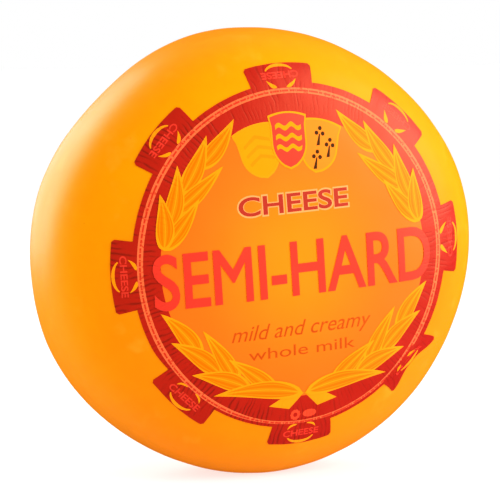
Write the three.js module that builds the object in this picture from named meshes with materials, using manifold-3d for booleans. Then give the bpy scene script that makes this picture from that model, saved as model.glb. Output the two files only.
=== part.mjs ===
// A ball-shaped wheel of semi-hard cheese with a round paper label on one face.
// Millimetres, +Z up. The wheel stands on its rim, and the labelled face looks along -Y.
// The origin is on the ground, under the middle of the wheel.

import * as THREE from 'three';
import { mergeVertices } from 'three/addons/utils/BufferGeometryUtils.js';
import Module from 'manifold-3d';

const wasm = await Module();
wasm.setup();

const degrees = (angle) => THREE.MathUtils.degToRad(angle);

// ---- Wheel ----
const wheelRadius = 130;            // mean radius, from the axis to the widest ring of the rim
const faceBulge = 63;               // from the widest ring to the middle of the labelled face
const backBulge = 65;               // from the widest ring to the middle of the back
const faceFullness = 3.1;           // how full the labelled half is: 2 is an ellipse, more is squarer
const backFullness = 2.5;           // how full the back half is
const slump = 0.018;                // how much wider than a circle the wheel has slumped
const slumpTurn = degrees(11);      // direction of that widening, up from +X
const squareness = 0.0085;          // how much the four sides of the rim have flattened
const squarenessTurn = degrees(6.5);
const flatDepth = 2;                // how far the rim is pressed flat where the wheel stands

// ---- Label ----
const tipRimMargin = 21.3;          // from the tabs' tips to the mean rim
const tabReach = 10.7;              // how far a tab stands out past the label's edge
const tabTipWidth = 41.8;           // width of a tab at its tip
const tabCount = 8;
const cornerRound = 1.6;            // rounding of a tab's tip corners
const rootRound = 2.2;              // rounding where a tab leaves the label's edge
const labelThickness = 0.3;         // paper with its glue
const labelGap = 0.3;               // clearance between the paper and the rind
const labelTurn = degrees(4);       // the label sits a little turned, counter-clockwise from the front

// ---- Fineness of the solids ----
const roundSegments = 60;
const profileSteps = 16;            // steps from a face's middle to the widest ring

// ---- Sizes that follow from the ones above ----
const tipRadius = wheelRadius - tipRimMargin;
const labelRadius = tipRadius - tabReach;
const tabHalfAngle = Math.asin(tabTipWidth / 2 / tipRadius);
const frontReach = faceBulge + labelGap + labelThickness;
const widestRingY = (frontReach - backBulge) / 2;
const axisHeight = wheelRadius * rimFactor(-Math.PI / 2) - flatDepth;

const face = { bulge: faceBulge, fullness: faceFullness, side: -1 };
const back = { bulge: backBulge, fullness: backFullness, side: 1 };

// The rim's radius at an angle, as a share of the mean radius. The angle runs from +X up to +Z.
function rimFactor(angle) {
  const wide = slump * Math.cos(2 * (angle - slumpTurn));
  const square = squareness * Math.cos(4 * (angle - squarenessTurn));
  return 1 + wide + square;
}

// A point on a half's outline: x is the radius and y the distance along the axis. The turn runs
// from 0 at the middle of the face to a quarter turn at the widest ring.
function outlinePoint(half, turn, offset = 0) {
  const share = 2 / half.fullness;
  const out = Math.sin(turn) ** share;
  const along = Math.max(0, Math.cos(turn)) ** share;
  const slopeOut = out ** (half.fullness - 1) / wheelRadius;
  const slopeAlong = along ** (half.fullness - 1) / half.bulge;
  const normal = new THREE.Vector2(slopeOut, slopeAlong).normalize();
  const radius = wheelRadius * out + normal.x * offset;
  const distance = half.bulge * along + normal.y * offset;
  return new THREE.Vector2(Math.max(0, radius), half.side * distance);
}

// The turns from a face's middle outwards, up to the first one whose radius reaches past a limit.
function turnsOut(half, limit = Infinity) {
  const turns = [];
  for (let step = 0; step <= profileSteps; step += 1) {
    const turn = (step / profileSteps) * (Math.PI / 2);
    turns.push(turn);
    if (outlinePoint(half, turn).x > limit) break;
  }
  return turns;
}

// Revolves an outline about the wheel's axis and gives it the slumped, four-sided round.
function revolve(outline) {
  const geometry = new THREE.LatheGeometry(outline, roundSegments);
  const position = geometry.attributes.position;
  for (let i = 0; i < position.count; i += 1) {
    const factor = rimFactor(Math.atan2(position.getZ(i), position.getX(i)));
    position.setX(i, position.getX(i) * factor);
    position.setZ(i, position.getZ(i) * factor);
  }
  return geometry;
}

// Turns a closed geometry into a solid that can be cut and joined.
function toSolid(source) {
  const bare = source.clone();
  bare.deleteAttribute('normal');
  bare.deleteAttribute('uv');
  const merged = mergeVertices(bare, 1e-4);
  const corners = merged.index.array;
  const kept = [];
  for (let i = 0; i < corners.length; i += 3) {
    const [a, b, c] = corners.slice(i, i + 3);
    if (a !== b && b !== c && c !== a) kept.push(a, b, c);
  }
  return new wasm.Manifold(new wasm.Mesh({
    numProp: 3,
    vertProperties: new Float32Array(merged.attributes.position.array),
    triVerts: new Uint32Array(kept),
  }));
}

function toMesh(name, solid, material) {
  const { vertProperties, triVerts } = solid.getMesh();
  const geometry = new THREE.BufferGeometry();
  geometry.setAttribute('position', new THREE.BufferAttribute(vertProperties, 3));
  geometry.setIndex(new THREE.BufferAttribute(triVerts, 1));
  geometry.computeVertexNormals();
  const mesh = new THREE.Mesh(geometry, material);
  mesh.name = name;
  return mesh;
}

// The cheese with its coloured coat, one solid, pressed flat where it stands.
function wheelSolid() {
  const front = turnsOut(face).map((turn) => outlinePoint(face, turn));
  const rear = turnsOut(back).map((turn) => outlinePoint(back, turn));
  rear.pop();
  const whole = toSolid(revolve([...front, ...rear.reverse()]));
  const blockSize = 2 * wheelRadius;
  const block = new THREE.BoxGeometry(blockSize, blockSize, blockSize);
  block.translate(0, 0, -axisHeight - blockSize / 2);
  return whole.subtract(toSolid(block));
}

// The label's outline: a round with evenly spaced tabs that widen outwards along the radius.
function labelOutline() {
  const at = (radius, angle) => [radius * Math.cos(angle), radius * Math.sin(angle)];
  const cornerAngle = cornerRound / tipRadius;
  const rootAngle = rootRound / labelRadius;
  const pitch = (2 * Math.PI) / tabCount;
  const shape = new THREE.Shape();
  for (let tab = 0; tab < tabCount; tab += 1) {
    const middle = Math.PI / 2 + labelTurn + tab * pitch;
    const start = middle - tabHalfAngle;
    const end = middle + tabHalfAngle;
    const next = start + pitch;
    if (tab === 0) shape.moveTo(...at(labelRadius, start - rootAngle));
    shape.quadraticCurveTo(...at(labelRadius, start), ...at(labelRadius + rootRound, start));
    shape.lineTo(...at(tipRadius - cornerRound, start));
    shape.quadraticCurveTo(...at(tipRadius, start), ...at(tipRadius, start + cornerAngle));
    shape.absarc(0, 0, tipRadius, start + cornerAngle, end - cornerAngle, false);
    shape.quadraticCurveTo(...at(tipRadius, end), ...at(tipRadius - cornerRound, end));
    shape.lineTo(...at(labelRadius + rootRound, end));
    shape.quadraticCurveTo(...at(labelRadius, end), ...at(labelRadius, end + rootAngle));
    shape.absarc(0, 0, labelRadius, end + rootAngle, next - rootAngle, false);
  }
  return shape;
}

// The paper label: a thin shell that follows the face, trimmed to the label's outline.
function labelSolid() {
  const turns = turnsOut(face, tipRadius + tabReach);
  const outside = turns.map((turn) => outlinePoint(face, turn, labelGap + labelThickness));
  const inside = turns.map((turn) => outlinePoint(face, turn, labelGap));
  const shell = toSolid(revolve([...outside, ...inside.reverse()]));
  const depth = 2 * faceBulge;
  const cutter = new THREE.ExtrudeGeometry(labelOutline(), { depth, bevelEnabled: false, curveSegments: 3 });
  cutter.rotateX(Math.PI / 2);
  return shell.intersect(toSolid(cutter));
}

const coat = new THREE.MeshStandardMaterial({ color: 0xffa000, roughness: 0.42, metalness: 0 });
const paper = new THREE.MeshStandardMaterial({ color: 0xe8331f, roughness: 0.5, metalness: 0 });

const cheese = new THREE.Group();
cheese.add(toMesh('cheese_wheel', wheelSolid(), coat));
cheese.add(toMesh('label', labelSolid(), paper));
cheese.position.set(0, widestRingY, axisHeight);

export default cheese;
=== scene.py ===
import math

import bmesh
import bpy
from bpy.props import FloatProperty, FloatVectorProperty, IntProperty, PointerProperty
from mathutils import Matrix, Vector, noise


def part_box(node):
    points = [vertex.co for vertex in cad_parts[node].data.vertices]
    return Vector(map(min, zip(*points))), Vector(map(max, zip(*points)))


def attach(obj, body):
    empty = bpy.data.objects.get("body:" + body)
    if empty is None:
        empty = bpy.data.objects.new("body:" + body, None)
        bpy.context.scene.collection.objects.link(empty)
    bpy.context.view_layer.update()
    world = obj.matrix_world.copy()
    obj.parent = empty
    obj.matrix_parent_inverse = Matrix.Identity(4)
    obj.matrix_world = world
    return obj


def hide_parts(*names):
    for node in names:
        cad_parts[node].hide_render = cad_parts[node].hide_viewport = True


bl_info = {
    "name": "Labelled cheese wheel",
    "version": (1, 0, 0),
    "blender": (4, 5, 0),
    "location": "3D View > Sidebar > Cheese",
    "description": "Builds a ball-shaped wheel of cheese, its paper label and the print on it",
    "category": "Add Mesh",
}

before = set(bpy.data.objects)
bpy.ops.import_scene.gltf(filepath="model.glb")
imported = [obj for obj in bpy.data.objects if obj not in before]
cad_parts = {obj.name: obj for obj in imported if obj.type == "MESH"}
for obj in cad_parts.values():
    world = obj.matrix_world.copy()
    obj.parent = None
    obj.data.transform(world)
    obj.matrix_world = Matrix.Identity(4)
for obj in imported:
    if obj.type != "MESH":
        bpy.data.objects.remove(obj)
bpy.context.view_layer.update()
WHEEL_LOW, WHEEL_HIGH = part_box("cheese_wheel")
LABEL_LOW, LABEL_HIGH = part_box("label")

MM = 0.001
MERGE = 1e-6  # points closer than this are the same point
SLUMP = 0.018
SLUMP_TURN = math.radians(11)
SQUARENESS = 0.0085
SQUARENESS_TURN = math.radians(6.5)


def rim_share(angle):
    """The rim's radius at an angle, as a share of the mean radius. The angle runs from +X up to +Z."""
    wide = SLUMP * math.cos(2 * (angle - SLUMP_TURN))
    square = SQUARENESS * math.cos(4 * (angle - SQUARENESS_TURN))
    return 1 + wide + square


MEAN_RADIUS = (WHEEL_HIGH[0] - WHEEL_LOW[0]) / 2 / rim_share(0)


# ---------------------------------------------------------------- sizes and colours

def length(name, description, default):
    """A size in metres that a user can change."""
    return FloatProperty(name=name, description=description, default=default, unit="LENGTH", precision=5)


def turning(name, description, degrees):
    """An angle that a user can change."""
    return FloatProperty(name=name, description=description, default=math.radians(degrees), subtype="ANGLE")


def colour(name, description, default):
    """A colour that a user can change."""
    return FloatVectorProperty(
        name=name, description=description, default=default, size=3, subtype="COLOR", min=0, max=1
    )


class CheeseWheelSizes(bpy.types.PropertyGroup):
    """Shape of the cheese itself."""

    mean_radius: length("Mean radius", "From the axis to the widest ring of the rim", MEAN_RADIUS)
    face_bulge: length("Face bulge", "From the widest ring to the middle of the labelled face", 63 * MM)
    back_bulge: length("Back bulge", "From the widest ring to the middle of the back", 65 * MM)
    face_fullness: FloatProperty(name="Face fullness", description="2 is an ellipse", default=3.1)
    back_fullness: FloatProperty(name="Back fullness", description="2 is an ellipse", default=2.5)
    broad_dents: length("Broad dents", "Height of the broad, shallow dents in the rind", 0.7 * MM)
    small_dents: length("Small dents", "Height of the small dents in the rind", 0.26 * MM)
    round_steps: IntProperty(name="Steps round", description="Faces round the rim", default=288)
    outline_steps: IntProperty(name="Steps across", description="Faces from face to back", default=132)


class CheeseLabelSizes(bpy.types.PropertyGroup):
    """Shape of the paper label and of what is printed on it."""

    turn: turning("Turn", "Counter-clockwise, from the front", 4)
    tip_radius: length("Tab tips", "Radius of the tabs' tips", 108.7 * MM)
    edge_radius: length("Edge", "Radius of the label between the tabs", 98 * MM)
    tab_width: length("Tab width", "Width of a tab at its tip", 41.8 * MM)
    tab_count: IntProperty(name="Tabs", description="Number of tabs", default=8)
    foot_creep: length("Foot creep", "How far the paper's edge has drawn in along its foot", 1.9 * MM)
    tab_creep: length("Tab creep", "How far the rumpled tab has drawn in", 7.5 * MM)
    thickness: length("Paper thickness", "Thickness of the paper with its glue", 0.2 * MM)
    field_radius: length("Field", "Radius of the orange field", 82.3 * MM)
    line_radius: length("Ring line", "Radius of the ring line's middle", 93.6 * MM)
    line_width: length("Ring line width", "Width of the ring line", 3.2 * MM)
    ink: length("Ink step", "Height of one layer of print over the one below", 0.03 * MM)


class CheesePrintColours(bpy.types.PropertyGroup):
    """Colours of the coat and of the label's inks."""

    coat: colour("Coat", "The cheese's coloured coat", (0.92, 0.24, 0.002))
    coat_deep: colour("Coat, thick", "The coat where it has run thicker", (0.9, 0.215, 0.001))
    # Painted highlight: a paler coat colour laid towards the rim and over the top.
    coat_painted_highlight: colour("Coat, thin", "The coat where it thins, towards the rim and the top", (0.95, 0.29, 0.0))
    scuff: colour("Scuff", "Pale scuffs in the coat", (0.95, 0.42, 0.03))
    red: colour("Label red", "The label's border, band and tabs", (0.48, 0.003, 0.001))
    field: colour("Field", "The label's orange middle", (0.95, 0.24, 0.0))
    field_edge: colour("Field edge", "The orange towards the field's edge", (0.95, 0.15, 0.004))
    line: colour("Ring line", "The pale ring line", (0.92, 0.14, 0.038))
    leaf_line: colour("Leaf line", "Outlines and veins of the garland", (0.95, 0.28, 0.003))
    leaf: colour("Leaf", "Inside of the garland's leaves", (0.95, 0.15, 0.0))
    coral: colour("Coral", "The large lettering", (0.8, 0.025, 0.014))
    word: colour("Word", "The small word", (0.44, 0.016, 0.009))
    word_edge: colour("Word edge", "Pale edge of the small word", (0.95, 0.33, 0.1))
    rust: colour("Rust", "The two fine lines of lettering", (0.55, 0.055, 0.003))
    gold: colour("Gold", "The shields' gold", (0.95, 0.275, 0.001))
    cream: colour("Cream", "The right shield's ground", (0.95, 0.21, 0.012))
    dark: colour("Dark", "The sprigs on the right shield", (0.05, 0.012, 0.002))


class CheeseStageSettings(bpy.types.PropertyGroup):
    """Camera, floor and lights."""

    azimuth: turning("Azimuth", "Camera's turn round the wheel", -26)
    elevation: turning("Elevation", "Camera's height angle", 4.8)
    distance: length("Distance", "From the camera to the middle of the wheel", 1.593)
    lens: FloatProperty(name="Lens", description="Focal length in millimetres", default=198.2)
    surround: FloatProperty(name="Surround", description="Strength of the white surround", default=1.0)
    key: FloatProperty(name="Key light", description="Power of the large light, in watts", default=28.5)
    rim: FloatProperty(name="Rim light", description="Power of the light behind the left", default=31.0)


# ---------------------------------------------------------------- the wheel's surface

def smooth_step(low, high, value):
    """0 below low, 1 above high, and a smooth rise between them."""
    share = min(1.0, max(0.0, (value - low) / (high - low)))
    return share * share * (3 - 2 * share)


class Rind:
    """The wheel's outer surface, measured from the middle of its widest ring."""

    # Where the rim bulges or is flattened: its turn in degrees, its height and its spread in degrees.
    lumps = (
        (15, 1.0, 28),
        (105, 0.8, 14),
        (135, -1.2, 12),
        (160, 0.5, 10),
        (188, -1.6, 15),
        (318, 1.3, 20),
    )

    def __init__(self, wheel):
        self.radius = wheel.mean_radius
        self.face = (wheel.face_bulge, wheel.face_fullness)
        self.back = (wheel.back_bulge, wheel.back_fullness)
        self.broad = wheel.broad_dents
        self.small = wheel.small_dents
        height = WHEEL_HIGH[2] - wheel.mean_radius * rim_share(math.pi / 2)
        self.centre = Vector((0, WHEEL_LOW[1] + wheel.face_bulge, height))

    def half(self, along):
        return self.face if along < 0 else self.back

    def rim(self, angle):
        """The rim's radius at an angle, as a share of the mean radius, with its lumps."""
        share = rim_share(angle)
        for turn, height, spread in self.lumps:
            off = math.remainder(angle - math.radians(turn), 2 * math.pi) / math.radians(spread)
            share += height * MM / self.radius * math.exp(-off * off)
        return share

    def outline(self, turn):
        """A point of the outline: turn runs from a quarter turn down (face) to a quarter turn up (back)."""
        bulge, fullness = self.half(math.sin(turn))
        out = (abs(math.cos(turn)) / self.radius) ** fullness
        along = (abs(math.sin(turn)) / bulge) ** fullness
        reach = (out + along) ** (-1 / fullness)
        return Vector((max(0.0, math.cos(turn)) * reach, math.sin(turn) * reach, 0))

    def face_point(self, across, up):
        """The point of the labelled face straight behind a place seen from the front."""
        bulge, fullness = self.face
        share = math.hypot(across, up) / (self.radius * self.rim(math.atan2(up, across)))
        return Vector((across, -bulge * (1 - share**fullness) ** (1 / fullness), up))

    def normal(self, point):
        """The outward direction at a point of the surface."""
        bulge, fullness = self.half(point.y)
        out = math.hypot(point.x, point.z)
        if out < 1e-7:
            return Vector((0, math.copysign(1, point.y), 0))
        share = out / (self.radius * self.rim(math.atan2(point.z, point.x)))
        outward = share ** (fullness - 1) / self.radius
        along = (abs(point.y) / bulge) ** (fullness - 1) / bulge
        normal = Vector((outward * point.x / out, math.copysign(along, point.y), outward * point.z / out))
        return normal.normalized()

    def dents(self, point):
        """Height of the rind's unevenness at a point. It only ever goes inwards."""
        broad = noise.noise(point * 14 + Vector((3.1, 0.4, 7.7)))
        small = noise.noise(point * 62 + Vector((9.2, 5.5, 1.3)))
        return self.broad * (broad - 1) * 0.5 + self.small * (small - 1) * 0.5

    def lifted(self, point, lift):
        """The place in the frame of a surface point, with dents, raised by lift."""
        return self.centre + point + self.normal(point) * (self.dents(point) + lift)


class Paper:
    """The label lying on the face: it carries flat places (across, up, lift) onto the rind."""

    # The glue's thickness, and how far and at which side the edge has slid off the middle.
    glue_lift = 0.04 * MM
    drift = Vector((1.8, 0.7)) * MM
    drift_turn = math.radians(30)

    def __init__(self, label, rind):
        self.label = label
        self.rind = rind
        self.turn = Matrix.Rotation(label.turn, 2)
        self.top = self.glue_lift + label.thickness

    def relief(self, across, up):
        """Height of the paper's soft radial wrinkles, which grow towards the label's edge."""
        out = math.hypot(across, up)
        fade = smooth_step(0.074, 0.106, out)
        if fade == 0:
            return 0.0
        angle = math.atan2(up, across)
        ring = Vector((math.cos(angle), math.sin(angle), 0.0))
        sway = noise.noise(ring * 3.1 + Vector((0, 0, out * 30)))
        strength = 0.5 + 0.5 * noise.noise(ring * 5.3 + Vector((4.7, 1.9, 0)))
        ripple = 0.5 + 0.5 * math.sin(angle * 64 + sway * 6)
        return 0.16 * MM * fade * strength * ripple

    def creep(self, angle):
        """How far the edge has drawn in at an angle: along the foot, and where one tab has rumpled."""
        foot_turn, fold_turn = math.radians(-100), math.radians(-45)
        off_foot = abs(math.remainder(angle - foot_turn, 2 * math.pi))
        along_foot = 1 - smooth_step(math.radians(42), math.radians(56), off_foot)
        off_fold = math.remainder(angle - fold_turn, 2 * math.pi)
        fold = 1 - smooth_step(math.radians(1), math.radians(12), abs(off_fold))
        below = 1 - smooth_step(math.radians(-14), math.radians(4), off_fold)
        near = 1 - smooth_step(math.radians(12), math.radians(22), abs(off_fold))
        return self.label.foot_creep * along_foot, self.label.tab_creep * (fold + 0.2 * below * near), near

    def place(self, flat):
        """Carries a flat place onto the face. Its z is the height over the paper's top."""
        out = math.hypot(flat.x, flat.y)
        lift = self.top + flat.z + self.relief(flat.x, flat.y)
        past = out - self.label.line_radius
        if past > 0:
            angle = math.atan2(flat.y, flat.x)
            foot, tab, near = self.creep(angle)
            edge_share = smooth_step(0, 5 * MM, past)
            tab_share = smooth_step(0, 14 * MM, past)
            lift += 0.13 * tab * math.exp(-(((past - 4 * MM) / (2.2 * MM)) ** 2))
            out -= foot * edge_share + tab * tab_share
            shift = self.drift * max(0.0, math.cos(angle - self.drift_turn))
            flat = polar(out, angle + math.radians(1.7) * near * tab_share) + shift * edge_share
        spot = self.turn @ Vector((flat.x, flat.y))
        point = self.rind.face_point(spot.x, spot.y)
        return self.rind.lifted(point, lift)

    def lay(self, bm):
        for vert in bm.verts:
            vert.co = self.place(vert.co)


def current_paper():
    """The paper on the rind, from the sizes that are set in the scene."""
    scene = bpy.context.scene
    return Paper(scene.cheese_label, Rind(scene.cheese_wheel))


# ---------------------------------------------------------------- meshes

def finish_piece(name, bm, materials, sharp=math.radians(35)):
    """Turns a finished bmesh into a smooth-shaded object in the scene."""
    mesh = bpy.data.meshes.new(name)
    bm.to_mesh(mesh)
    bm.free()
    for polygon in mesh.polygons:
        polygon.use_smooth = True
    mesh.set_sharp_from_angle(angle=sharp)
    for material in materials:
        mesh.materials.append(material)
    piece = bpy.data.objects.new(name, mesh)
    bpy.context.scene.collection.objects.link(piece)
    return piece


def new_print():
    """An empty bmesh with the UV layer that plates use."""
    bm = bmesh.new()
    bm.loops.layers.uv.new("UVMap")
    return bm


def thicken(bm, faces, depth, material_index):
    """Gives flat upward faces a depth below them, and one material all round."""
    bm.normal_update()
    downward = [face for face in faces if face.normal.z < 0]
    if downward:
        bmesh.ops.reverse_faces(bm, faces=downward)
    made = bmesh.ops.solidify(bm, geom=faces, thickness=depth)
    for item in made["geom"]:
        if isinstance(item, bmesh.types.BMFace):
            item.material_index = material_index
    for face in faces:
        face.material_index = material_index


def plate(bm, place, columns, rows, height, depth, material_index=0):
    """A thin plate. place(s, t) gives the flat spot of each point, with s and t from 0 to 1."""
    made = bmesh.ops.create_grid(bm, x_segments=columns, y_segments=rows, size=0.5, calc_uvs=True)
    verts = made["verts"]
    for vert in verts:
        spot = place(vert.co.x + 0.5, vert.co.y + 0.5)
        vert.co = Vector((spot[0], spot[1], height))
    faces = list({face for vert in verts for face in vert.link_faces})
    bmesh.ops.remove_doubles(bm, verts=verts, dist=1e-7)
    faces = [face for face in faces if face.is_valid]
    thicken(bm, faces, depth, material_index)


def dot(bm, middle, radius, height, depth, material_index=0, stretch=(1, 1), turn=0.0):
    """A thin round or oval plate."""
    shape = (
        Matrix.Translation((middle[0], middle[1], height))
        @ Matrix.Rotation(turn, 4, "Z")
        @ Matrix.Diagonal((stretch[0], stretch[1], 1, 1))
    )
    made = bmesh.ops.create_circle(bm, cap_ends=True, segments=20, radius=radius, matrix=shape)
    faces = list({face for vert in made["verts"] for face in vert.link_faces})
    thicken(bm, faces, depth, material_index)


def cut_to_grid(bm, step):
    """Cuts a flat print along a square grid, so that it can bend with the face."""
    for axis in range(2):
        normal = Vector((axis == 0, axis == 1, 0))
        low = min(vert.co[axis] for vert in bm.verts)
        high = max(vert.co[axis] for vert in bm.verts)
        for cut in range(math.ceil(low / step), math.floor(high / step) + 1):
            everything = bm.verts[:] + bm.edges[:] + bm.faces[:]
            bmesh.ops.bisect_plane(bm, geom=everything, plane_co=normal * cut * step, plane_no=normal)


def polar(radius, angle):
    return Vector((radius * math.cos(angle), radius * math.sin(angle)))


def leaf_width(t):
    """Half-width of a leaf along its length, as a share of its greatest half-width."""
    return (math.sin(math.pi * t**0.62)) ** 0.9 if 0 < t < 1 else 0.0


def leaf_spine(base, tip, bend):
    """A function that gives the spine's point and its sideways direction at t."""
    along = tip - base
    side = Vector((-along.y, along.x)).normalized()
    bow = side * along.length * bend

    def at(t):
        return base + along * t + bow * 4 * t * (1 - t), side

    return at


def leaf(bm, base, tip, half_width, bend, height, ink):
    """A leaf: a plate in the line colour, and on it two lobes that leave its outline and midrib."""
    spine = leaf_spine(base, tip, bend)
    rib = 0.4 * MM
    edge = 0.75 * MM
    start, stop = 0.06, 0.86

    def blade(s, t):
        middle, side = spine(t)
        return middle + side * half_width * leaf_width(t) * (2 * s - 1)

    plate(bm, blade, 8, 18, height, ink * 0.6, 0)
    for way in (-1, 1):

        def lobe(s, t):
            middle, side = spine(start + (stop - start) * t)
            full = max(0.0, half_width * leaf_width(start + (stop - start) * t) - edge - rib)
            reach = rib + full * (math.sin(math.pi * t) ** 0.35) * s
            return middle + side * reach * way

        plate(bm, lobe, 4, 16, height + ink * 0.6, ink * 0.5, 1)


def spray(bm, start, outer_tips, inner_tips, stem, mirror, ink):
    """One spray of the garland. Tips are turns in degrees from the stem's start towards its end."""
    outer_length, outer_width, outer_bend = 24, 5.2, -0.05
    inner_length, inner_width, inner_bend = 30, 4.9, -0.02
    outer_reach, inner_reach, reach_step = 90.3, 69.5, 1.2
    leaves = []
    for step, tip in enumerate(outer_tips):
        base = max(0.0, tip - outer_length) if step else 0.0
        leaves.append((base, tip, outer_reach - reach_step * step, outer_width, outer_bend))
    for tip in inner_tips:
        leaves.append((max(0.0, tip - inner_length), tip, inner_reach, inner_width, inner_bend))
    leaves.sort(key=lambda item: item[0])
    for order, (base_turn, tip_turn, tip_radius, half_width, bend) in enumerate(leaves):
        lean = (stem[1] - stem[0]) * base_turn / 40
        base = polar((stem[0] + lean) * MM, math.radians(start - base_turn))
        tip = polar(tip_radius * MM, math.radians(start - tip_turn))
        if mirror:
            base.x, tip.x = -base.x, -tip.x
            bend = -bend
        height = ink * (1.2 + 1.1 * (len(leaves) - order))
        leaf(bm, base, tip, half_width * MM, bend, height, ink)


# ---------------------------------------------------------------- materials

def node_tools(tree):
    """Short ways to add and link nodes in a tree."""

    def add(kind, **settings):
        node = tree.nodes.new(kind)
        inputs = settings.pop("inputs", {})
        for key, value in settings.items():
            setattr(node, key, value)
        for key, value in inputs.items():
            if isinstance(value, bpy.types.NodeSocket):
                tree.links.new(value, node.inputs[key])
            else:
                node.inputs[key].default_value = value
        return node

    return add


def math_node(add, operation, first, second=0.0, third=0.5):
    return add("ShaderNodeMath", operation=operation, inputs={0: first, 1: second, 2: third}).outputs[0]


def smooth_range(add, value, low, high, at_low, at_high):
    """Goes smoothly from one output to another as a value goes from low to high."""
    inputs = {0: value, 1: low, 2: high, 3: at_low, 4: at_high}
    return add("ShaderNodeMapRange", interpolation_type="SMOOTHSTEP", inputs=inputs).outputs[0]


def mix_colour(add, factor, first, second):
    node = add("ShaderNodeMix", data_type="RGBA", inputs={0: factor})
    for index, value in ((6, first), (7, second)):
        if isinstance(value, bpy.types.NodeSocket):
            node.id_data.links.new(value, node.inputs[index])
        else:
            node.inputs[index].default_value = value
    return node.outputs[2]


def rgba(values, factor=1.0):
    return tuple(value * factor for value in values) + (1.0,)


def new_group(name, inputs, outputs):
    """A shader node group with named sockets."""
    group = bpy.data.node_groups.new(name, "ShaderNodeTree")
    for kind, socket, default in inputs:
        made = group.interface.new_socket(name=socket, in_out="INPUT", socket_type=kind)
        if default is not None:
            made.default_value = default
    for kind, socket in outputs:
        group.interface.new_socket(name=socket, in_out="OUTPUT", socket_type=kind)
    add = node_tools(group)
    return group, add, add("NodeGroupInput"), add("NodeGroupOutput")


def label_place_group():
    """Turns object coordinates into the label's own place: radius and angle from its middle."""
    name = "Label place"
    if name in bpy.data.node_groups:
        return bpy.data.node_groups[name]
    paper = current_paper()
    group, add, _, out = new_group(
        name,
        [],
        [("NodeSocketFloat", "Radius"), ("NodeSocketFloat", "Angle"), ("NodeSocketVector", "Place")],
    )
    coordinates = add("ShaderNodeTexCoord").outputs["Object"]
    from_centre = {0: coordinates, 1: paper.rind.centre}
    centred = add("ShaderNodeVectorMath", operation="SUBTRACT", inputs=from_centre)
    turned = add("ShaderNodeMapping", inputs={"Vector": centred.outputs[0]})
    turned.inputs["Rotation"].default_value = (0, paper.label.turn, 0)
    parts = add("ShaderNodeSeparateXYZ", inputs={0: turned.outputs[0]}).outputs
    flat = add("ShaderNodeCombineXYZ", inputs={0: parts[0], 1: parts[2]}).outputs[0]
    radius = add("ShaderNodeVectorMath", operation="LENGTH", inputs={0: flat}).outputs["Value"]
    angle = math_node(add, "ARCTAN2", parts[2], parts[0])
    links = group.links
    links.new(radius, out.inputs["Radius"])
    links.new(angle, out.inputs["Angle"])
    links.new(flat, out.inputs["Place"])
    return group


def paper_feel_group():
    """Fine radial creases near the label's edge, paper grain, and an uneven ink film."""
    name = "Paper feel"
    if name in bpy.data.node_groups:
        return bpy.data.node_groups[name]
    outputs = [("NodeSocketFloat", socket) for socket in ("Height", "Crease", "Ink")]
    group, add, source, out = new_group(name, [("NodeSocketFloat", "Grain", 0.3)], outputs)
    place = add("ShaderNodeGroup", node_tree=label_place_group()).outputs
    flat = place["Place"]
    sway = add("ShaderNodeTexNoise", inputs={"Vector": flat, "Scale": 42.0, "Detail": 2.0}).outputs[0]
    drift = math_node(add, "MULTIPLY", sway, 26.0)
    count = math_node(add, "MULTIPLY", place["Angle"], 210.0)
    wave = math_node(add, "SINE", math_node(add, "ADD", count, drift))
    ridge = math_node(add, "POWER", math_node(add, "MULTIPLY_ADD", wave, 0.5), 3.0)
    along = math_node(add, "MULTIPLY", place["Angle"], 16.0)
    outward = math_node(add, "MULTIPLY", place["Radius"], 70.0)
    stripe = add("ShaderNodeCombineXYZ", inputs={0: along, 1: outward}).outputs[0]
    patch = add("ShaderNodeTexNoise", inputs={"Vector": stripe, "Scale": 1.0, "Detail": 2.0}).outputs[0]
    strength = smooth_range(add, patch, 0.4, 0.62, 0.0, 1.0)
    off_left = math_node(add, "COSINE", math_node(add, "ADD", place["Angle"], math.radians(165)))
    # The creases, with the painted shade in them, are deeper towards the label's left.
    side = smooth_range(add, off_left, -0.5, 0.7, 0.35, 1.0)
    fade = smooth_range(add, place["Radius"], 0.078, 0.088, 0.0, 1.0)
    held = math_node(add, "MULTIPLY", math_node(add, "MULTIPLY", strength, side), fade)
    crease = math_node(add, "MULTIPLY", ridge, held)
    grain = add("ShaderNodeTexNoise", inputs={"Vector": flat, "Scale": 900.0, "Detail": 3.0}).outputs[0]
    ink = add("ShaderNodeTexNoise", inputs={"Vector": flat, "Scale": 60.0, "Detail": 4.0}).outputs[0]
    height = math_node(add, "SUBTRACT", math_node(add, "MULTIPLY", grain, source.outputs["Grain"]), crease)
    group.links.new(height, out.inputs["Height"])
    group.links.new(crease, out.inputs["Crease"])
    group.links.new(ink, out.inputs["Ink"])
    return group


# Tints of the inks' highlights, and the weight of the varnish over the reds.
RED_SHEEN = (1.0, 0.22, 0.055, 1.0)
RED_GLOSS = 0.08
GOLD_SHEEN = (1.0, 0.72, 0.02, 1.0)
DARK_SHEEN = (0.4, 0.25, 0.05, 1.0)


def principled(material):
    """An emptied material's tree, its node tools and its shader."""
    material.use_nodes = True
    tree = material.node_tree
    tree.nodes.clear()
    add = node_tools(tree)
    shader = add("ShaderNodeBsdfPrincipled")
    output = add("ShaderNodeOutputMaterial")
    tree.links.new(shader.outputs[0], output.inputs["Surface"])
    return tree, add, shader


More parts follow.
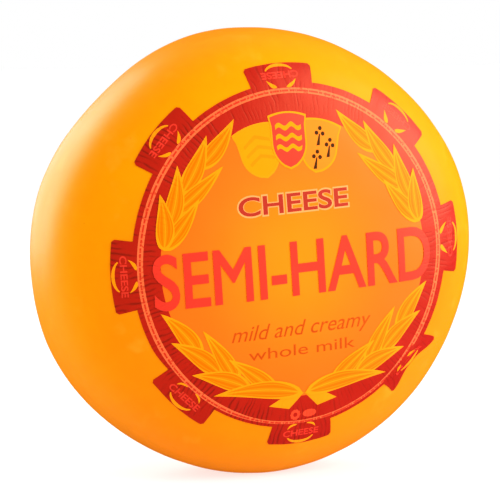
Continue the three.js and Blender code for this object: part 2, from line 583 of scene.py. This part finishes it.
def ink_material(name, base, roughness=0.42, crease_shade=0.12, sheen=GOLD_SHEEN, gloss=0.0, pattern=None):
    """Printed paper: one ink with an uneven film, over the paper's creases and grain, with painted shade in
    the creases.

    A pattern takes the ink and gives the final colour, and where the varnish lies if not all over.
    """
    if name in bpy.data.materials:
        return bpy.data.materials[name]
    material = bpy.data.materials.new(name)
    tree, add, shader = principled(material)
    feel = add("ShaderNodeGroup", node_tree=paper_feel_group()).outputs
    ink = mix_colour(add, feel["Ink"], rgba(base, 0.9), rgba(base, 1.08))
    varnished = None
    if pattern:
        ink, varnished = pattern(add, ink)
    # Painted shade: the creases darken the ink's colour.
    shade = add(
        "ShaderNodeMapRange", inputs={0: feel["Crease"], 1: 0.0, 2: 1.0, 3: 1.0, 4: 1 - crease_shade}
    ).outputs[0]
    shaded = add("ShaderNodeVectorMath", operation="SCALE", inputs={0: ink, "Scale": shade}).outputs[0]
    tree.links.new(shaded, shader.inputs["Base Color"])
    rough = add("ShaderNodeMapRange", inputs={0: feel["Ink"], 3: roughness - 0.06, 4: roughness + 0.08})
    tree.links.new(rough.outputs[0], shader.inputs["Roughness"])
    bump = add("ShaderNodeBump", inputs={"Height": feel["Height"], "Distance": 0.0002, "Strength": 0.7})
    tree.links.new(bump.outputs[0], shader.inputs["Normal"])
    shader.inputs["Specular IOR Level"].default_value = 1.0 if gloss else 0.28
    shader.inputs["Specular Tint"].default_value = sheen
    shader.inputs["Coat Weight"].default_value = gloss
    shader.inputs["Coat Roughness"].default_value = 0.42
    if varnished:
        tree.links.new(math_node(add, "MULTIPLY", varnished, gloss), shader.inputs["Coat Weight"])
    return material


def label_paper_material():
    """The sheet itself: a red border and tabs round an orange field that deepens towards its edge."""
    colours = bpy.context.scene.cheese_colours
    sizes = bpy.context.scene.cheese_label

    def pattern(add, red):
        place = add("ShaderNodeGroup", node_tree=label_place_group()).outputs
        radius = place["Radius"]
        field_shape = {"Vector": place["Place"], "Scale": (1.0, 1.057, 1.0)}
        squat = add("ShaderNodeMapping", inputs=field_shape).outputs[0]
        reach = add("ShaderNodeVectorMath", operation="LENGTH", inputs={0: squat}).outputs["Value"]
        inside = add(
            "ShaderNodeMapRange",
            inputs={0: reach, 1: sizes.field_radius, 2: sizes.field_radius + 0.3 * MM, 3: 1.0, 4: 0.0},
        ).outputs[0]
        outward = smooth_range(add, radius, 0.0, 0.9 * sizes.field_radius, 0.0, 1.0)
        field = mix_colour(add, outward, rgba(colours.field), rgba(colours.field_edge))
        return mix_colour(add, inside, red, field), math_node(add, "SUBTRACT", 1.0, inside)

    return ink_material(
        "Label paper",
        colours.red,
        roughness=0.4,
        crease_shade=0.45,
        sheen=RED_SHEEN,
        gloss=RED_GLOSS,
        pattern=pattern,
    )


def ring_line_material():
    """The pale ring line, with a run of fine dark dashes along its middle."""
    colours = bpy.context.scene.cheese_colours
    sizes = bpy.context.scene.cheese_label

    def pattern(add, pale):
        place = add("ShaderNodeGroup", node_tree=label_place_group()).outputs
        off = math_node(add, "SUBTRACT", place["Radius"], sizes.line_radius)
        near = math_node(add, "LESS_THAN", math_node(add, "ABSOLUTE", off), 0.5 * MM)
        round_turns = math_node(add, "MULTIPLY", place["Angle"], 60.0)
        turn = add("ShaderNodeCombineXYZ", inputs={0: round_turns}).outputs[0]
        dashes = add("ShaderNodeTexNoise", inputs={"Vector": turn, "Scale": 1.0, "Detail": 3.0}).outputs[0]
        marked = math_node(add, "GREATER_THAN", dashes, 0.45)
        between = math_node(add, "MULTIPLY", near, marked)
        chip_noise = {"Vector": place["Place"], "Scale": 420.0, "Detail": 2.0}
        chips = add("ShaderNodeTexNoise", inputs=chip_noise).outputs[0]
        chipped = smooth_range(add, chips, 0.56, 0.66, 0.0, 0.8)
        mask = math_node(add, "MULTIPLY", math_node(add, "MAXIMUM", between, chipped), 0.85)
        return mix_colour(add, mask, pale, rgba(colours.red, 1.3)), None

    return ink_material("Ring line ink", colours.line, sheen=RED_SHEEN, gloss=RED_GLOSS, pattern=pattern)


def coral_material():
    """The large lettering, the middle shield's ground and the medallions' word."""
    coral = bpy.context.scene.cheese_colours.coral
    return ink_material("Coral ink", coral, sheen=RED_SHEEN, gloss=RED_GLOSS)


def leaf_line_material():
    """The garland's outlines, the stems and the medallions' leaves."""
    return ink_material("Leaf line ink", bpy.context.scene.cheese_colours.leaf_line)


def leaf_material():
    """Inside of a leaf, with fine veins along its length."""
    colours = bpy.context.scene.cheese_colours

    def pattern(add, fill):
        uv = add("ShaderNodeUVMap", uv_map="UVMap").outputs[0]
        parts = add("ShaderNodeSeparateXYZ", inputs={0: uv}).outputs
        wave = math_node(add, "SINE", math_node(add, "MULTIPLY", parts[0], 11.0))
        vein = smooth_range(add, wave, 0.2, 1.0, 0.0, 0.5)
        return mix_colour(add, vein, fill, rgba(colours.leaf_line)), None

    return ink_material("Leaf ink", colours.leaf, pattern=pattern)


def coat_material():
    """The cheese's coloured coat: a satin film with soft mottling, fine dimples, a few specks and a painted
    highlight, paler towards the rim and over the top.
    """
    colours = bpy.context.scene.cheese_colours
    material = bpy.data.materials.new("Cheese coat")
    tree, add, shader = principled(material)
    place = add("ShaderNodeTexCoord").outputs["Object"]
    broad = add("ShaderNodeTexNoise", inputs={"Vector": place, "Scale": 11.0, "Detail": 3.0}).outputs[0]
    fine = add("ShaderNodeTexNoise", inputs={"Vector": place, "Scale": 140.0, "Detail": 4.0}).outputs[0]
    spread = add("ShaderNodeMapRange", inputs={0: broad, 1: 0.3, 2: 0.7, 3: 0.0, 4: 1.0}).outputs[0]
    film = mix_colour(add, spread, rgba(colours.coat_deep), rgba(colours.coat))
    parts = add("ShaderNodeSeparateXYZ", inputs={0: place}).outputs
    # Painted highlight: the coat is paler towards the rim, and the pale ring is centred below the axis so
    # that it reaches further over the top.
    above_highlight_centre = math_node(add, "SUBTRACT", parts[2], 0.1)
    flat = add("ShaderNodeCombineXYZ", inputs={0: parts[0], 1: above_highlight_centre}).outputs[0]
    radius = add("ShaderNodeVectorMath", operation="LENGTH", inputs={0: flat}).outputs["Value"]
    uneven = math_node(add, "MULTIPLY_ADD", broad, 0.02, radius)
    painted_highlight = smooth_range(add, uneven, 0.1, 0.142, 0.0, 1.0)
    film = mix_colour(add, painted_highlight, film, rgba(colours.coat_painted_highlight))
    fine_shade = add("ShaderNodeMapRange", inputs={0: fine, 1: 0.2, 2: 0.8, 3: 0.96, 4: 1.03}).outputs[0]
    scaled = add("ShaderNodeVectorMath", operation="SCALE", inputs={0: film, "Scale": fine_shade})
    mottled = scaled.outputs[0]
    cells = add("ShaderNodeTexVoronoi", inputs={"Vector": place, "Scale": 95.0}).outputs["Distance"]
    speck = smooth_range(add, cells, 0.02, 0.07, 0.35, 0.0)
    rubs = add("ShaderNodeTexNoise", inputs={"Vector": place, "Scale": 55.0, "Detail": 5.0}).outputs[0]
    scuffed = smooth_range(add, rubs, 0.58, 0.76, 0.0, 0.2)
    mottled = mix_colour(add, scuffed, mottled, rgba(colours.scuff))
    speckled = mix_colour(add, speck, mottled, rgba(colours.coat_deep, 0.75))
    tree.links.new(speckled, shader.inputs["Base Color"])
    rough = add("ShaderNodeMapRange", inputs={0: broad, 1: 0.3, 2: 0.7, 3: 0.36, 4: 0.46}).outputs[0]
    tree.links.new(rough, shader.inputs["Roughness"])
    skin = add("ShaderNodeTexNoise", inputs={"Vector": place, "Scale": 420.0, "Detail": 3.0}).outputs[0]
    dimples = add("ShaderNodeTexNoise", inputs={"Vector": place, "Scale": 75.0, "Detail": 2.0}).outputs[0]
    height = math_node(add, "ADD", math_node(add, "MULTIPLY", skin, 0.25), dimples)
    bump = add("ShaderNodeBump", inputs={"Height": height, "Distance": 0.0002, "Strength": 0.5})
    tree.links.new(bump.outputs[0], shader.inputs["Normal"])
    shader.inputs["Specular IOR Level"].default_value = 0.12
    shader.inputs["Specular Tint"].default_value = (1.0, 0.75, 0.0, 1.0)
    shader.inputs["Coat Weight"].default_value = 0.025
    shader.inputs["Coat Roughness"].default_value = 0.22
    return material


# ---------------------------------------------------------------- pieces

def keep(piece, *replaced):
    """Rides a piece on the frame and hides the model's parts that it stands in for."""
    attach(piece, "root")
    if replaced:
        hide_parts(*replaced)


class CHEESE_OT_wheel(bpy.types.Operator):
    """Spin the wheel, slump its rim, dent its rind and press it flat where it stands."""

    bl_idname = "cheese.wheel"
    bl_label = "Cheese wheel"

    def execute(self, context):
        sizes = context.scene.cheese_wheel
        rind = Rind(sizes)
        bm = bmesh.new()
        turns = [(step / sizes.outline_steps - 0.5) * math.pi for step in range(sizes.outline_steps + 1)]
        points = [bm.verts.new(rind.outline(turn)) for turn in turns]
        edges = [bm.edges.new(pair) for pair in zip(points, points[1:])]
        bmesh.ops.spin(
            bm,
            geom=points + edges,
            cent=(0, 0, 0),
            axis=(0, 1, 0),
            angle=2 * math.pi,
            steps=sizes.round_steps,
            use_merge=True,
        )
        bmesh.ops.remove_doubles(bm, verts=bm.verts, dist=MERGE)
        bmesh.ops.recalc_face_normals(bm, faces=bm.faces)
        for vert in bm.verts:
            share = rind.rim(math.atan2(vert.co.z, vert.co.x))
            surface = Vector((vert.co.x * share, vert.co.y, vert.co.z * share))
            vert.co = rind.lifted(surface, 0.0)
            vert.co.z = max(0.0, vert.co.z)
        piece = finish_piece("wheel", bm, [coat_material()], math.radians(80))
        keep(piece, "cheese_wheel")
        return {"FINISHED"}


class CHEESE_OT_label_paper(bpy.types.Operator):
    """Spin the label's sheet, trim it to its tabs and lay it on the face."""

    bl_idname = "cheese.label_paper"
    bl_label = "Label paper"

    pitch_steps = 60
    tab_steps = 30

    def column(self, vert, sizes):
        """Angle of a point, moved so that the columns line up with the tabs' sides."""
        pitch = 2 * math.pi / sizes.tab_count
        half_tab = math.asin(sizes.tab_width / 2 / sizes.tip_radius)
        step = round(math.atan2(vert.co.y, vert.co.x) / pitch * self.pitch_steps) % (
            self.pitch_steps * sizes.tab_count
        )
        tab, rest = divmod(step, self.pitch_steps)
        if rest <= self.tab_steps:
            turn = half_tab * (2 * rest / self.tab_steps - 1)
        else:
            gap = pitch - 2 * half_tab
            turn = half_tab + gap * (rest - self.tab_steps) / (self.pitch_steps - self.tab_steps)
        return tab, rest, tab * pitch + turn

    def execute(self, context):
        paper = current_paper()
        sizes = paper.label
        rows, tab_rows = 42, 6
        inner = [sizes.edge_radius * row / rows for row in range(rows + 1)]
        reach = sizes.tip_radius - sizes.edge_radius
        outer = [sizes.edge_radius + reach * (row + 1) / tab_rows for row in range(tab_rows)]
        bm = bmesh.new()
        points = [bm.verts.new((radius, 0, 0)) for radius in inner + outer]
        edges = [bm.edges.new(pair) for pair in zip(points, points[1:])]
        bmesh.ops.spin(
            bm,
            geom=points + edges,
            cent=(0, 0, 0),
            axis=(0, 0, 1),
            angle=2 * math.pi,
            steps=self.pitch_steps * sizes.tab_count,
            use_merge=True,
        )
        bmesh.ops.remove_doubles(bm, verts=bm.verts, dist=MERGE)
        self.trim(bm, sizes)
        self.shape(bm, sizes)
        bm.normal_update()
        if bm.faces[:][0].normal.z < 0:
            bmesh.ops.reverse_faces(bm, faces=bm.faces)
        bmesh.ops.solidify(bm, geom=bm.faces[:], thickness=sizes.thickness)
        paper.lay(bm)
        piece = finish_piece("label_sheet", bm, [label_paper_material()])
        keep(piece, "label")
        return {"FINISHED"}

    def trim(self, bm, sizes):
        """Cuts the rows between the tabs away."""
        waste = []
        for face in bm.faces:
            middle = face.calc_center_median()
            rests = [self.column(vert, sizes)[1] for vert in face.verts]
            in_tab = max(rests) <= self.tab_steps
            if middle.length > sizes.edge_radius and not in_tab:
                waste.append(face)
        bmesh.ops.delete(bm, geom=waste, context="FACES")

    def shape(self, bm, sizes):
        """Lines the columns up with the tabs, and rounds the tabs' corners and roots."""
        corner = 1.3 * MM
        reach = sizes.tip_radius - sizes.edge_radius
        for vert in bm.verts:
            out = vert.co.length
            if out < 1e-7:
                continue
            _, rest, angle = self.column(vert, sizes)
            if out > sizes.edge_radius + 1e-6:
                from_side = sizes.tab_width * min(rest, self.tab_steps - rest) / self.tab_steps
                short = max(0.0, 1 - from_side / corner)
                loss = corner * (1 - math.sqrt(1 - short * short))
                out = sizes.edge_radius + (out - sizes.edge_radius) * (reach - loss) / reach
            vert.co = Vector((out * math.cos(angle + math.pi / 2), out * math.sin(angle + math.pi / 2), 0))


class CHEESE_OT_ring_line(bpy.types.Operator):
    """Print the pale ring line just inside the label's edge."""

    bl_idname = "cheese.ring_line"
    bl_label = "Ring line"

    def execute(self, context):
        paper = current_paper()
        sizes = paper.label
        bm = new_print()

        def band(s, t):
            angle = 2 * math.pi * t
            off_foot = abs(math.remainder(angle + math.radians(80), 2 * math.pi))
            narrow = 0.45 * (1 - smooth_step(math.radians(22), math.radians(46), off_foot))
            narrow = max(narrow, 0.1 * smooth_step(-0.3, 0.6, math.cos(angle - math.radians(20))))
            return polar(sizes.line_radius + sizes.line_width * (1 - narrow) * (s - 0.5), angle)

        plate(bm, band, 3, 480, sizes.ink, sizes.ink * 0.8)
        bmesh.ops.remove_doubles(bm, verts=bm.verts, dist=MERGE)
        paper.lay(bm)
        keep(finish_piece("ring_line", bm, [ring_line_material()]))
        return {"FINISHED"}


class CHEESE_OT_garland(bpy.types.Operator):
    """Print the four leaf sprays of the garland."""

    bl_idname = "cheese.garland"
    bl_label = "Leaf garland"

    def execute(self, context):
        paper = current_paper()
        sizes = paper.label
        inks = [leaf_line_material(), leaf_material()]
        for side, mirror in (("left", False), ("right", True)):
            for place, start, outer, inner, stem in (
                ("upper", 171.2, (19.9, 31.9, 47.4, 59.6), (25.5, 44.3), (81, 78.5)),
                ("lower", 269.5, (36.7, 48.4, 63.2, 74.6), (41.3, 60.2), (76.5, 78.5)),
            ):
                bm = new_print()
                spray(bm, start, outer, inner, stem, mirror, sizes.ink)
                paper.lay(bm)
                keep(finish_piece(f"spray_{place}_{side}", bm, inks))
        return {"FINISHED"}


def embolden(bm, weight):
    """Moves the outline of flat lettering outwards by a weight."""
    pushes = {}
    for edge in bm.edges:
        if not edge.is_boundary:
            continue
        first, second = (vert.co for vert in edge.verts)
        along = (second - first).normalized()
        outward = Vector((along.y, -along.x, 0))
        if outward.dot((first + second) / 2 - edge.link_faces[0].calc_center_median()) < 0:
            outward = -outward
        for vert in edge.verts:
            pushes.setdefault(vert, Vector((0, 0, 0))).__iadd__(outward)
    for vert, push in pushes.items():
        vert.co += push * (2 * weight / max(push.length_squared, 0.8))


def text_bmesh(words, cap_height, middle, width, height, shear=0.0, weight=0.0):
    """Flat lettering as a bmesh, its capitals of the given height, centred and fitted to a width."""
    curve = bpy.data.curves.new(words, "FONT")
    curve.body = words
    curve.shear = shear
    curve.resolution_u = 6
    holder = bpy.data.objects.new(words, curve)
    bpy.context.scene.collection.objects.link(holder)
    bpy.context.view_layer.update()
    mesh = bpy.data.meshes.new_from_object(holder.evaluated_get(bpy.context.evaluated_depsgraph_get()))
    bm = new_print()
    bm.from_mesh(mesh)
    bpy.data.objects.remove(holder)
    bpy.data.curves.remove(curve)
    bpy.data.meshes.remove(mesh)
    bmesh.ops.remove_doubles(bm, verts=bm.verts, dist=0.004)
    embolden(bm, weight)
    low = min(vert.co.x for vert in bm.verts)
    high = max(vert.co.x for vert in bm.verts)
    cap = 0.7  # a capital's height in a font of size 1
    bmesh.ops.translate(bm, verts=bm.verts, vec=(-(low + high) / 2, -cap / 2, 0))
    bmesh.ops.scale(bm, verts=bm.verts, vec=(width / (high - low), cap_height / cap, 1))
    bmesh.ops.translate(bm, verts=bm.verts, vec=(middle[0], middle[1], height))
    return bm


def print_text(name, words, cap_height, middle, width, height, material, **style):
    """Prints a line of lettering on the label."""
    paper = current_paper()
    ink = paper.label.ink
    bm = text_bmesh(words, cap_height, middle, width, height, **style)
    thicken(bm, bm.faces[:], ink * 0.8, 0)
    cut_to_grid(bm, 2.5 * MM)
    paper.lay(bm)
    keep(finish_piece(name, bm, [material]))


class CHEESE_OT_lettering(bpy.types.Operator):
    """Print plain generic words where a label carries its name and its kind."""

    bl_idname = "cheese.lettering"
    bl_label = "Lettering"

    def execute(self, context):
        colours = context.scene.cheese_colours
        ink = context.scene.cheese_label.ink
        coral = coral_material()
        pale = ink_material("Pale ink", colours.word_edge)
        rust = ink_material("Rust ink", colours.rust)
        top = ink * 10
        word = ink_material("Word ink", colours.word, sheen=RED_SHEEN, gloss=RED_GLOSS)
        kind_place = (-1 * MM, 31.8 * MM)
        print_text("word_main", "SEMI-HARD", 30 * MM, (0, -5 * MM), 174 * MM, top, coral, weight=0.014)
        print_text("word_kind_edge", "CHEESE", 11 * MM, kind_place, 70 * MM, ink, pale, weight=0.05)
        print_text("word_kind", "CHEESE", 10.2 * MM, kind_place, 68.2 * MM, ink * 2, word, weight=0.018)
        script_place = (0, -38.5 * MM)
        print_text("line_script", "mild and creamy", 8.6 * MM, script_place, 88 * MM, ink, rust, shear=0.32)
        print_text("line_plain", "whole milk", 6.4 * MM, (-0.5 * MM, -51 * MM), 67 * MM, ink, rust)
        return {"FINISHED"}


class CHEESE_OT_shields(bpy.types.Operator):
    """Print three plain shields: gold chevrons, gold waves on red, and dark sprigs on cream."""

    bl_idname = "cheese.shields"
    bl_label = "Shields"

    def shield(self, bm, middle, half_width, top, bottom, lean, height, depth, index, inset=0.0):
        """A shield: an arched top, straight sides and a pointed foot."""
        turn = Matrix.Rotation(lean, 2)
        tall = top - bottom

        def place(s, t):
            across = 2 * s - 1
            side = 1.0 if t > 0.5 else math.sin(math.pi / 2 * (t / 0.5) ** 0.66)
            arch = 0.07 * tall * (1 - across * across) * t**3
            x = across * (half_width - inset) * side * (1 + 0.09 * smooth_step(0.8, 1.0, t))
            y = bottom + inset * 1.3 + (tall - inset * 2.3) * t + arch
            spot = turn @ Vector((x, y - (top + bottom) / 2))
            return Vector((middle + spot.x, (top + bottom) / 2 + spot.y))

        plate(bm, place, 12, 18, height, depth, index)
        return place

    def execute(self, context):
        colours = context.scene.cheese_colours
        paper = current_paper()
        ink = paper.label.ink
        edge = ink_material("Shield edge ink", colours.leaf_line)
        gold = ink_material("Gold ink", colours.gold)
        deep = ink_material("Deep gold ink", tuple(value * 0.85 for value in colours.gold))
        cream = ink_material("Cream ink", colours.cream)
        coral = coral_material()
        dark = ink_material("Dark ink", colours.dark, sheen=DARK_SHEEN)
        inset = 1.0 * MM
        for name, middle, half, top, bottom, lean, low, ground in (
            ("shield_left", -19, 11.8, 74.8, 46.2, 0.235, 1, gold),
            ("shield_right", 17.6, 11.8, 74.8, 46.2, -0.26, 1, cream),
            ("shield_middle", -0.6, 11, 80.2, 50, -0.04, 5, coral),
        ):
            bm = new_print()
            height = ink * (low + 1)
            area = (middle * MM, half * MM, top * MM, bottom * MM, lean)
            self.shield(bm, *area, height, ink * 0.8, 0)
            inside = self.shield(bm, *area, height + ink * 0.7, ink * 0.6, 1, inset)
            charge = getattr(self, name)
            charge(bm, inside, height + ink * 1.4, ink * 0.6)
            paper.lay(bm)
            third = {"shield_left": deep, "shield_right": dark, "shield_middle": gold}[name]
            keep(finish_piece(name, bm, [edge, ground, third]))
        return {"FINISHED"}

    def shield_left(self, bm, inside, height, depth):
        """Three chevrons."""
        for step in range(3):

            def chevron(s, t, low=0.34 + 0.19 * step):
                across = 0.12 + 0.76 * s
                return inside(across, low + 0.07 * t - 0.12 * abs(2 * s - 1) + 0.06)

            plate(bm, chevron, 12, 2, height, depth, 2)

    def shield_middle(self, bm, inside, height, depth):
        """Three waves."""
        for step in range(3):

            def wave(s, t, low=0.34 + 0.2 * step):
                across = 0.1 + 0.8 * s
                return inside(across, low + 0.085 * t + 0.035 * math.sin(s * 4 * math.pi))

            plate(bm, wave, 24, 2, height, depth, 2)

    def shield_right(self, bm, inside, height, depth):
        """Three sprigs, each of three round leaves on a stalk."""
        for across, up in ((0.47, 0.79), (0.8, 0.61), (0.47, 0.32)):
            top = inside(across, up)
            for turn in (188, 78, -32):
                dot(bm, top + polar(2.1 * MM, math.radians(turn)), 1.2 * MM, height, depth, 2)

            def stalk(s, t):
                wide = (0.35 + 0.75 * (1 - t)) * MM
                foot = top + polar(7.6 * MM, math.radians(255))
                spot = foot.lerp(top, 0.86 * t)
                return Vector((spot.x + (2 * s - 1) * wide, spot.y))

            plate(bm, stalk, 1, 5, height, depth, 2)


class CHEESE_OT_medallions(bpy.types.Operator):
    """Print a small medallion on each tab: a leaf ring round one plain word."""

    bl_idname = "cheese.medallions"
    bl_label = "Tab medallions"

    def execute(self, context):
        paper = current_paper()
        sizes = paper.label
        inks = [leaf_line_material(), coral_material()]
        for tab in range(sizes.tab_count):
            bm = self.medallion(sizes.ink)
            middle = Matrix.Translation((0, 101.6 * MM, 0))
            turn = Matrix.Rotation(2 * math.pi * tab / sizes.tab_count, 4, "Z")
            bmesh.ops.transform(bm, matrix=turn @ middle, verts=bm.verts)
            paper.lay(bm)
            keep(finish_piece(f"medallion_{tab + 1}", bm, inks))
        return {"FINISHED"}

    def medallion(self, ink):
        """One medallion, its leaf ring open towards the label's middle."""
        bm = text_bmesh("CHEESE", 3.5 * MM, (0, 0), 23 * MM, 0, weight=0.025)
        bmesh.ops.rotate(bm, verts=bm.verts, cent=(0, 0, 0), matrix=Matrix.Rotation(math.pi, 3, "Z"))
        bmesh.ops.translate(bm, verts=bm.verts, vec=(0, 0.4 * MM, ink * 1.8))
        thicken(bm, bm.faces[:], ink * 0.8, 1)

        def garland(s, t):
            angle = math.radians(22 + 136 * t)
            wide = 1.7 * MM * math.sin(math.pi * (0.08 + 0.84 * t)) ** 0.7
            middle = Vector((8.8 * MM * math.cos(angle), 1.4 * MM + 4.6 * MM * math.sin(angle)))
            return middle + middle.normalized() * wide * (s - 0.5)

        plate(bm, garland, 3, 20, ink, ink * 0.8, 0)
        for side in (-1, 1):
            base = Vector((3.0 * side * MM, -6.2 * MM))
            tip = Vector((9.2 * side * MM, -2.0 * MM))
            spine = leaf_spine(base, tip, -0.1 * side)

            def small_leaf(s, t):
                middle, across = spine(t)
                return middle + across * 0.95 * MM * leaf_width(t) * (2 * s - 1)

            plate(bm, small_leaf, 3, 8, ink, ink * 0.8, 0)
        return bm


class CHEESE_OT_seals(bpy.types.Operator):
    """Print the two small ovals and the crossed stems under the garland."""

    bl_idname = "cheese.seals"
    bl_label = "Ovals and stems"

    def execute(self, context):
        colours = context.scene.cheese_colours
        paper = current_paper()
        ink = paper.label.ink
        faint = tuple(value * 0.8 + other * 0.2 for value, other in zip(colours.coral, colours.line))
        inks = [ink_material("Faint coral ink", faint), leaf_line_material()]
        bm = new_print()
        for step in range(10):
            spot = polar(2.2 * MM, math.radians(36 * step))
            middle = (spot.x - 4.8 * MM, spot.y - 89 * MM)
            dot(bm, middle, 0.95 * MM, ink * (1 + 0.1 * (step % 2)), ink * 0.8)
        dot(bm, (4.2 * MM, -89 * MM), 2.5 * MM, ink, ink * 0.8, 0, (1.75, 0.9))
        paper.lay(bm)
        keep(finish_piece("ovals", bm, inks))
        for name, side in (("stem_left", -1), ("stem_right", 1)):
            bm = new_print()

            def stem(s, t):
                low = Vector((21.5 - 12.5 * s, -82 - 3 * s)) * MM
                high = Vector((13 - 13 * s, -77.6 + 1.4 * s)) * MM
                spot = low.lerp(high, t)
                return Vector((spot.x * side, spot.y))

            plate(bm, stem, 6, 10, ink * 1.2, ink * 0.8)
            paper.lay(bm)
            keep(finish_piece(name, bm, inks[1:]))
        return {"FINISHED"}


# ---------------------------------------------------------------- stage

def area_light(name, place, target, size, power):
    """A round soft lamp that looks at a target. It isn't seen itself."""
    data = bpy.data.lights.new(name, "AREA")
    data.shape = "DISK"
    data.size = size
    data.energy = power
    lamp = bpy.data.objects.new(name, data)
    lamp.location = place
    lamp.visible_camera = False
    lamp.rotation_euler = (Vector(target) - Vector(place)).to_track_quat("-Z", "Y").to_euler()
    bpy.context.scene.collection.objects.link(lamp)


class CHEESE_OT_stage(bpy.types.Operator):
    """Set the pale floor, the soft studio light and the camera."""

    bl_idname = "cheese.stage"
    bl_label = "Stage"

    def execute(self, context):
        scene = context.scene
        settings = scene.cheese_stage
        middle = Rind(scene.cheese_wheel).centre
        scene.view_settings.view_transform = "Standard"
        self.surround(scene, settings.surround)
        self.floor()
        area_light("key", (1.2, -0.85, 0.68), middle, 1.3, settings.key)
        area_light("rim", (-0.7, 1.38, 0.62), middle, 1.6, settings.rim)
        camera = bpy.data.objects.new("camera", bpy.data.cameras.new("camera"))
        camera.data.lens = settings.lens
        camera.data.clip_end = 50
        turn, rise = settings.azimuth, settings.elevation
        back = Vector((math.sin(turn) * math.cos(rise), -math.cos(turn) * math.cos(rise), math.sin(rise)))
        camera.location = middle + back * settings.distance
        camera.rotation_euler = (-back).to_track_quat("-Z", "Y").to_euler()
        scene.collection.objects.link(camera)
        scene.camera = camera
        return {"FINISHED"}

    def surround(self, scene, strength):
        world = bpy.data.worlds.new("white surround")
        scene.world = world
        world.use_nodes = True
        background = world.node_tree.nodes["Background"]
        background.inputs["Color"].default_value = (1, 1, 1, 1)
        background.inputs["Strength"].default_value = strength
        world.cycles_visibility.glossy = False

    def floor(self):
        bm = bmesh.new()
        bmesh.ops.create_grid(bm, x_segments=1, y_segments=1, size=12)
        mesh = bpy.data.meshes.new("floor")
        bm.to_mesh(mesh)
        bm.free()
        material = bpy.data.materials.new("Pale floor")
        shader = principled(material)[2]
        shader.inputs["Base Color"].default_value = (0.35, 0.35, 0.35, 1)
        shader.inputs["Roughness"].default_value = 0.8
        shader.inputs["Specular IOR Level"].default_value = 0.1
        shader.inputs["Emission Color"].default_value = (1, 1, 1, 1)
        shader.inputs["Emission Strength"].default_value = 0.69
        mesh.materials.append(material)
        floor = bpy.data.objects.new("floor", mesh)
        floor.visible_glossy = False
        bpy.context.scene.collection.objects.link(floor)


class CHEESE_PT_panel(bpy.types.Panel):
    """Lists the steps that build the cheese."""

    bl_idname = "CHEESE_PT_panel"
    bl_label = "Cheese wheel"
    bl_space_type = "VIEW_3D"
    bl_region_type = "UI"
    bl_category = "Cheese"

    def draw(self, context):
        layout = self.layout
        for step in STEPS:
            layout.operator(step.bl_idname)
        for name in SETTINGS:
            group = getattr(context.scene, name)
            box = layout.box()
            for prop in group.__annotations__:
                box.prop(group, prop)


STEPS = (
    CHEESE_OT_stage,
    CHEESE_OT_wheel,
    CHEESE_OT_label_paper,
    CHEESE_OT_ring_line,
    CHEESE_OT_garland,
    CHEESE_OT_shields,
    CHEESE_OT_lettering,
    CHEESE_OT_medallions,
    CHEESE_OT_seals,
)
SETTINGS = {
    "cheese_wheel": CheeseWheelSizes,
    "cheese_label": CheeseLabelSizes,
    "cheese_colours": CheesePrintColours,
    "cheese_stage": CheeseStageSettings,
}


def register():
    for group in SETTINGS.values():
        bpy.utils.register_class(group)
    for name, group in SETTINGS.items():
        setattr(bpy.types.Scene, name, PointerProperty(type=group))
    for step in STEPS:
        bpy.utils.register_class(step)
    bpy.utils.register_class(CHEESE_PT_panel)


def unregister():
    bpy.utils.unregister_class(CHEESE_PT_panel)
    for step in reversed(STEPS):
        bpy.utils.unregister_class(step)
    for name, group in SETTINGS.items():
        delattr(bpy.types.Scene, name)
        bpy.utils.unregister_class(group)


def main():
    register()
    for step in STEPS:
        family, name = step.bl_idname.split(".")
        getattr(getattr(bpy.ops, family), name)()
    bpy.context.view_layer.update()


if __name__ == "__main__":
    main()
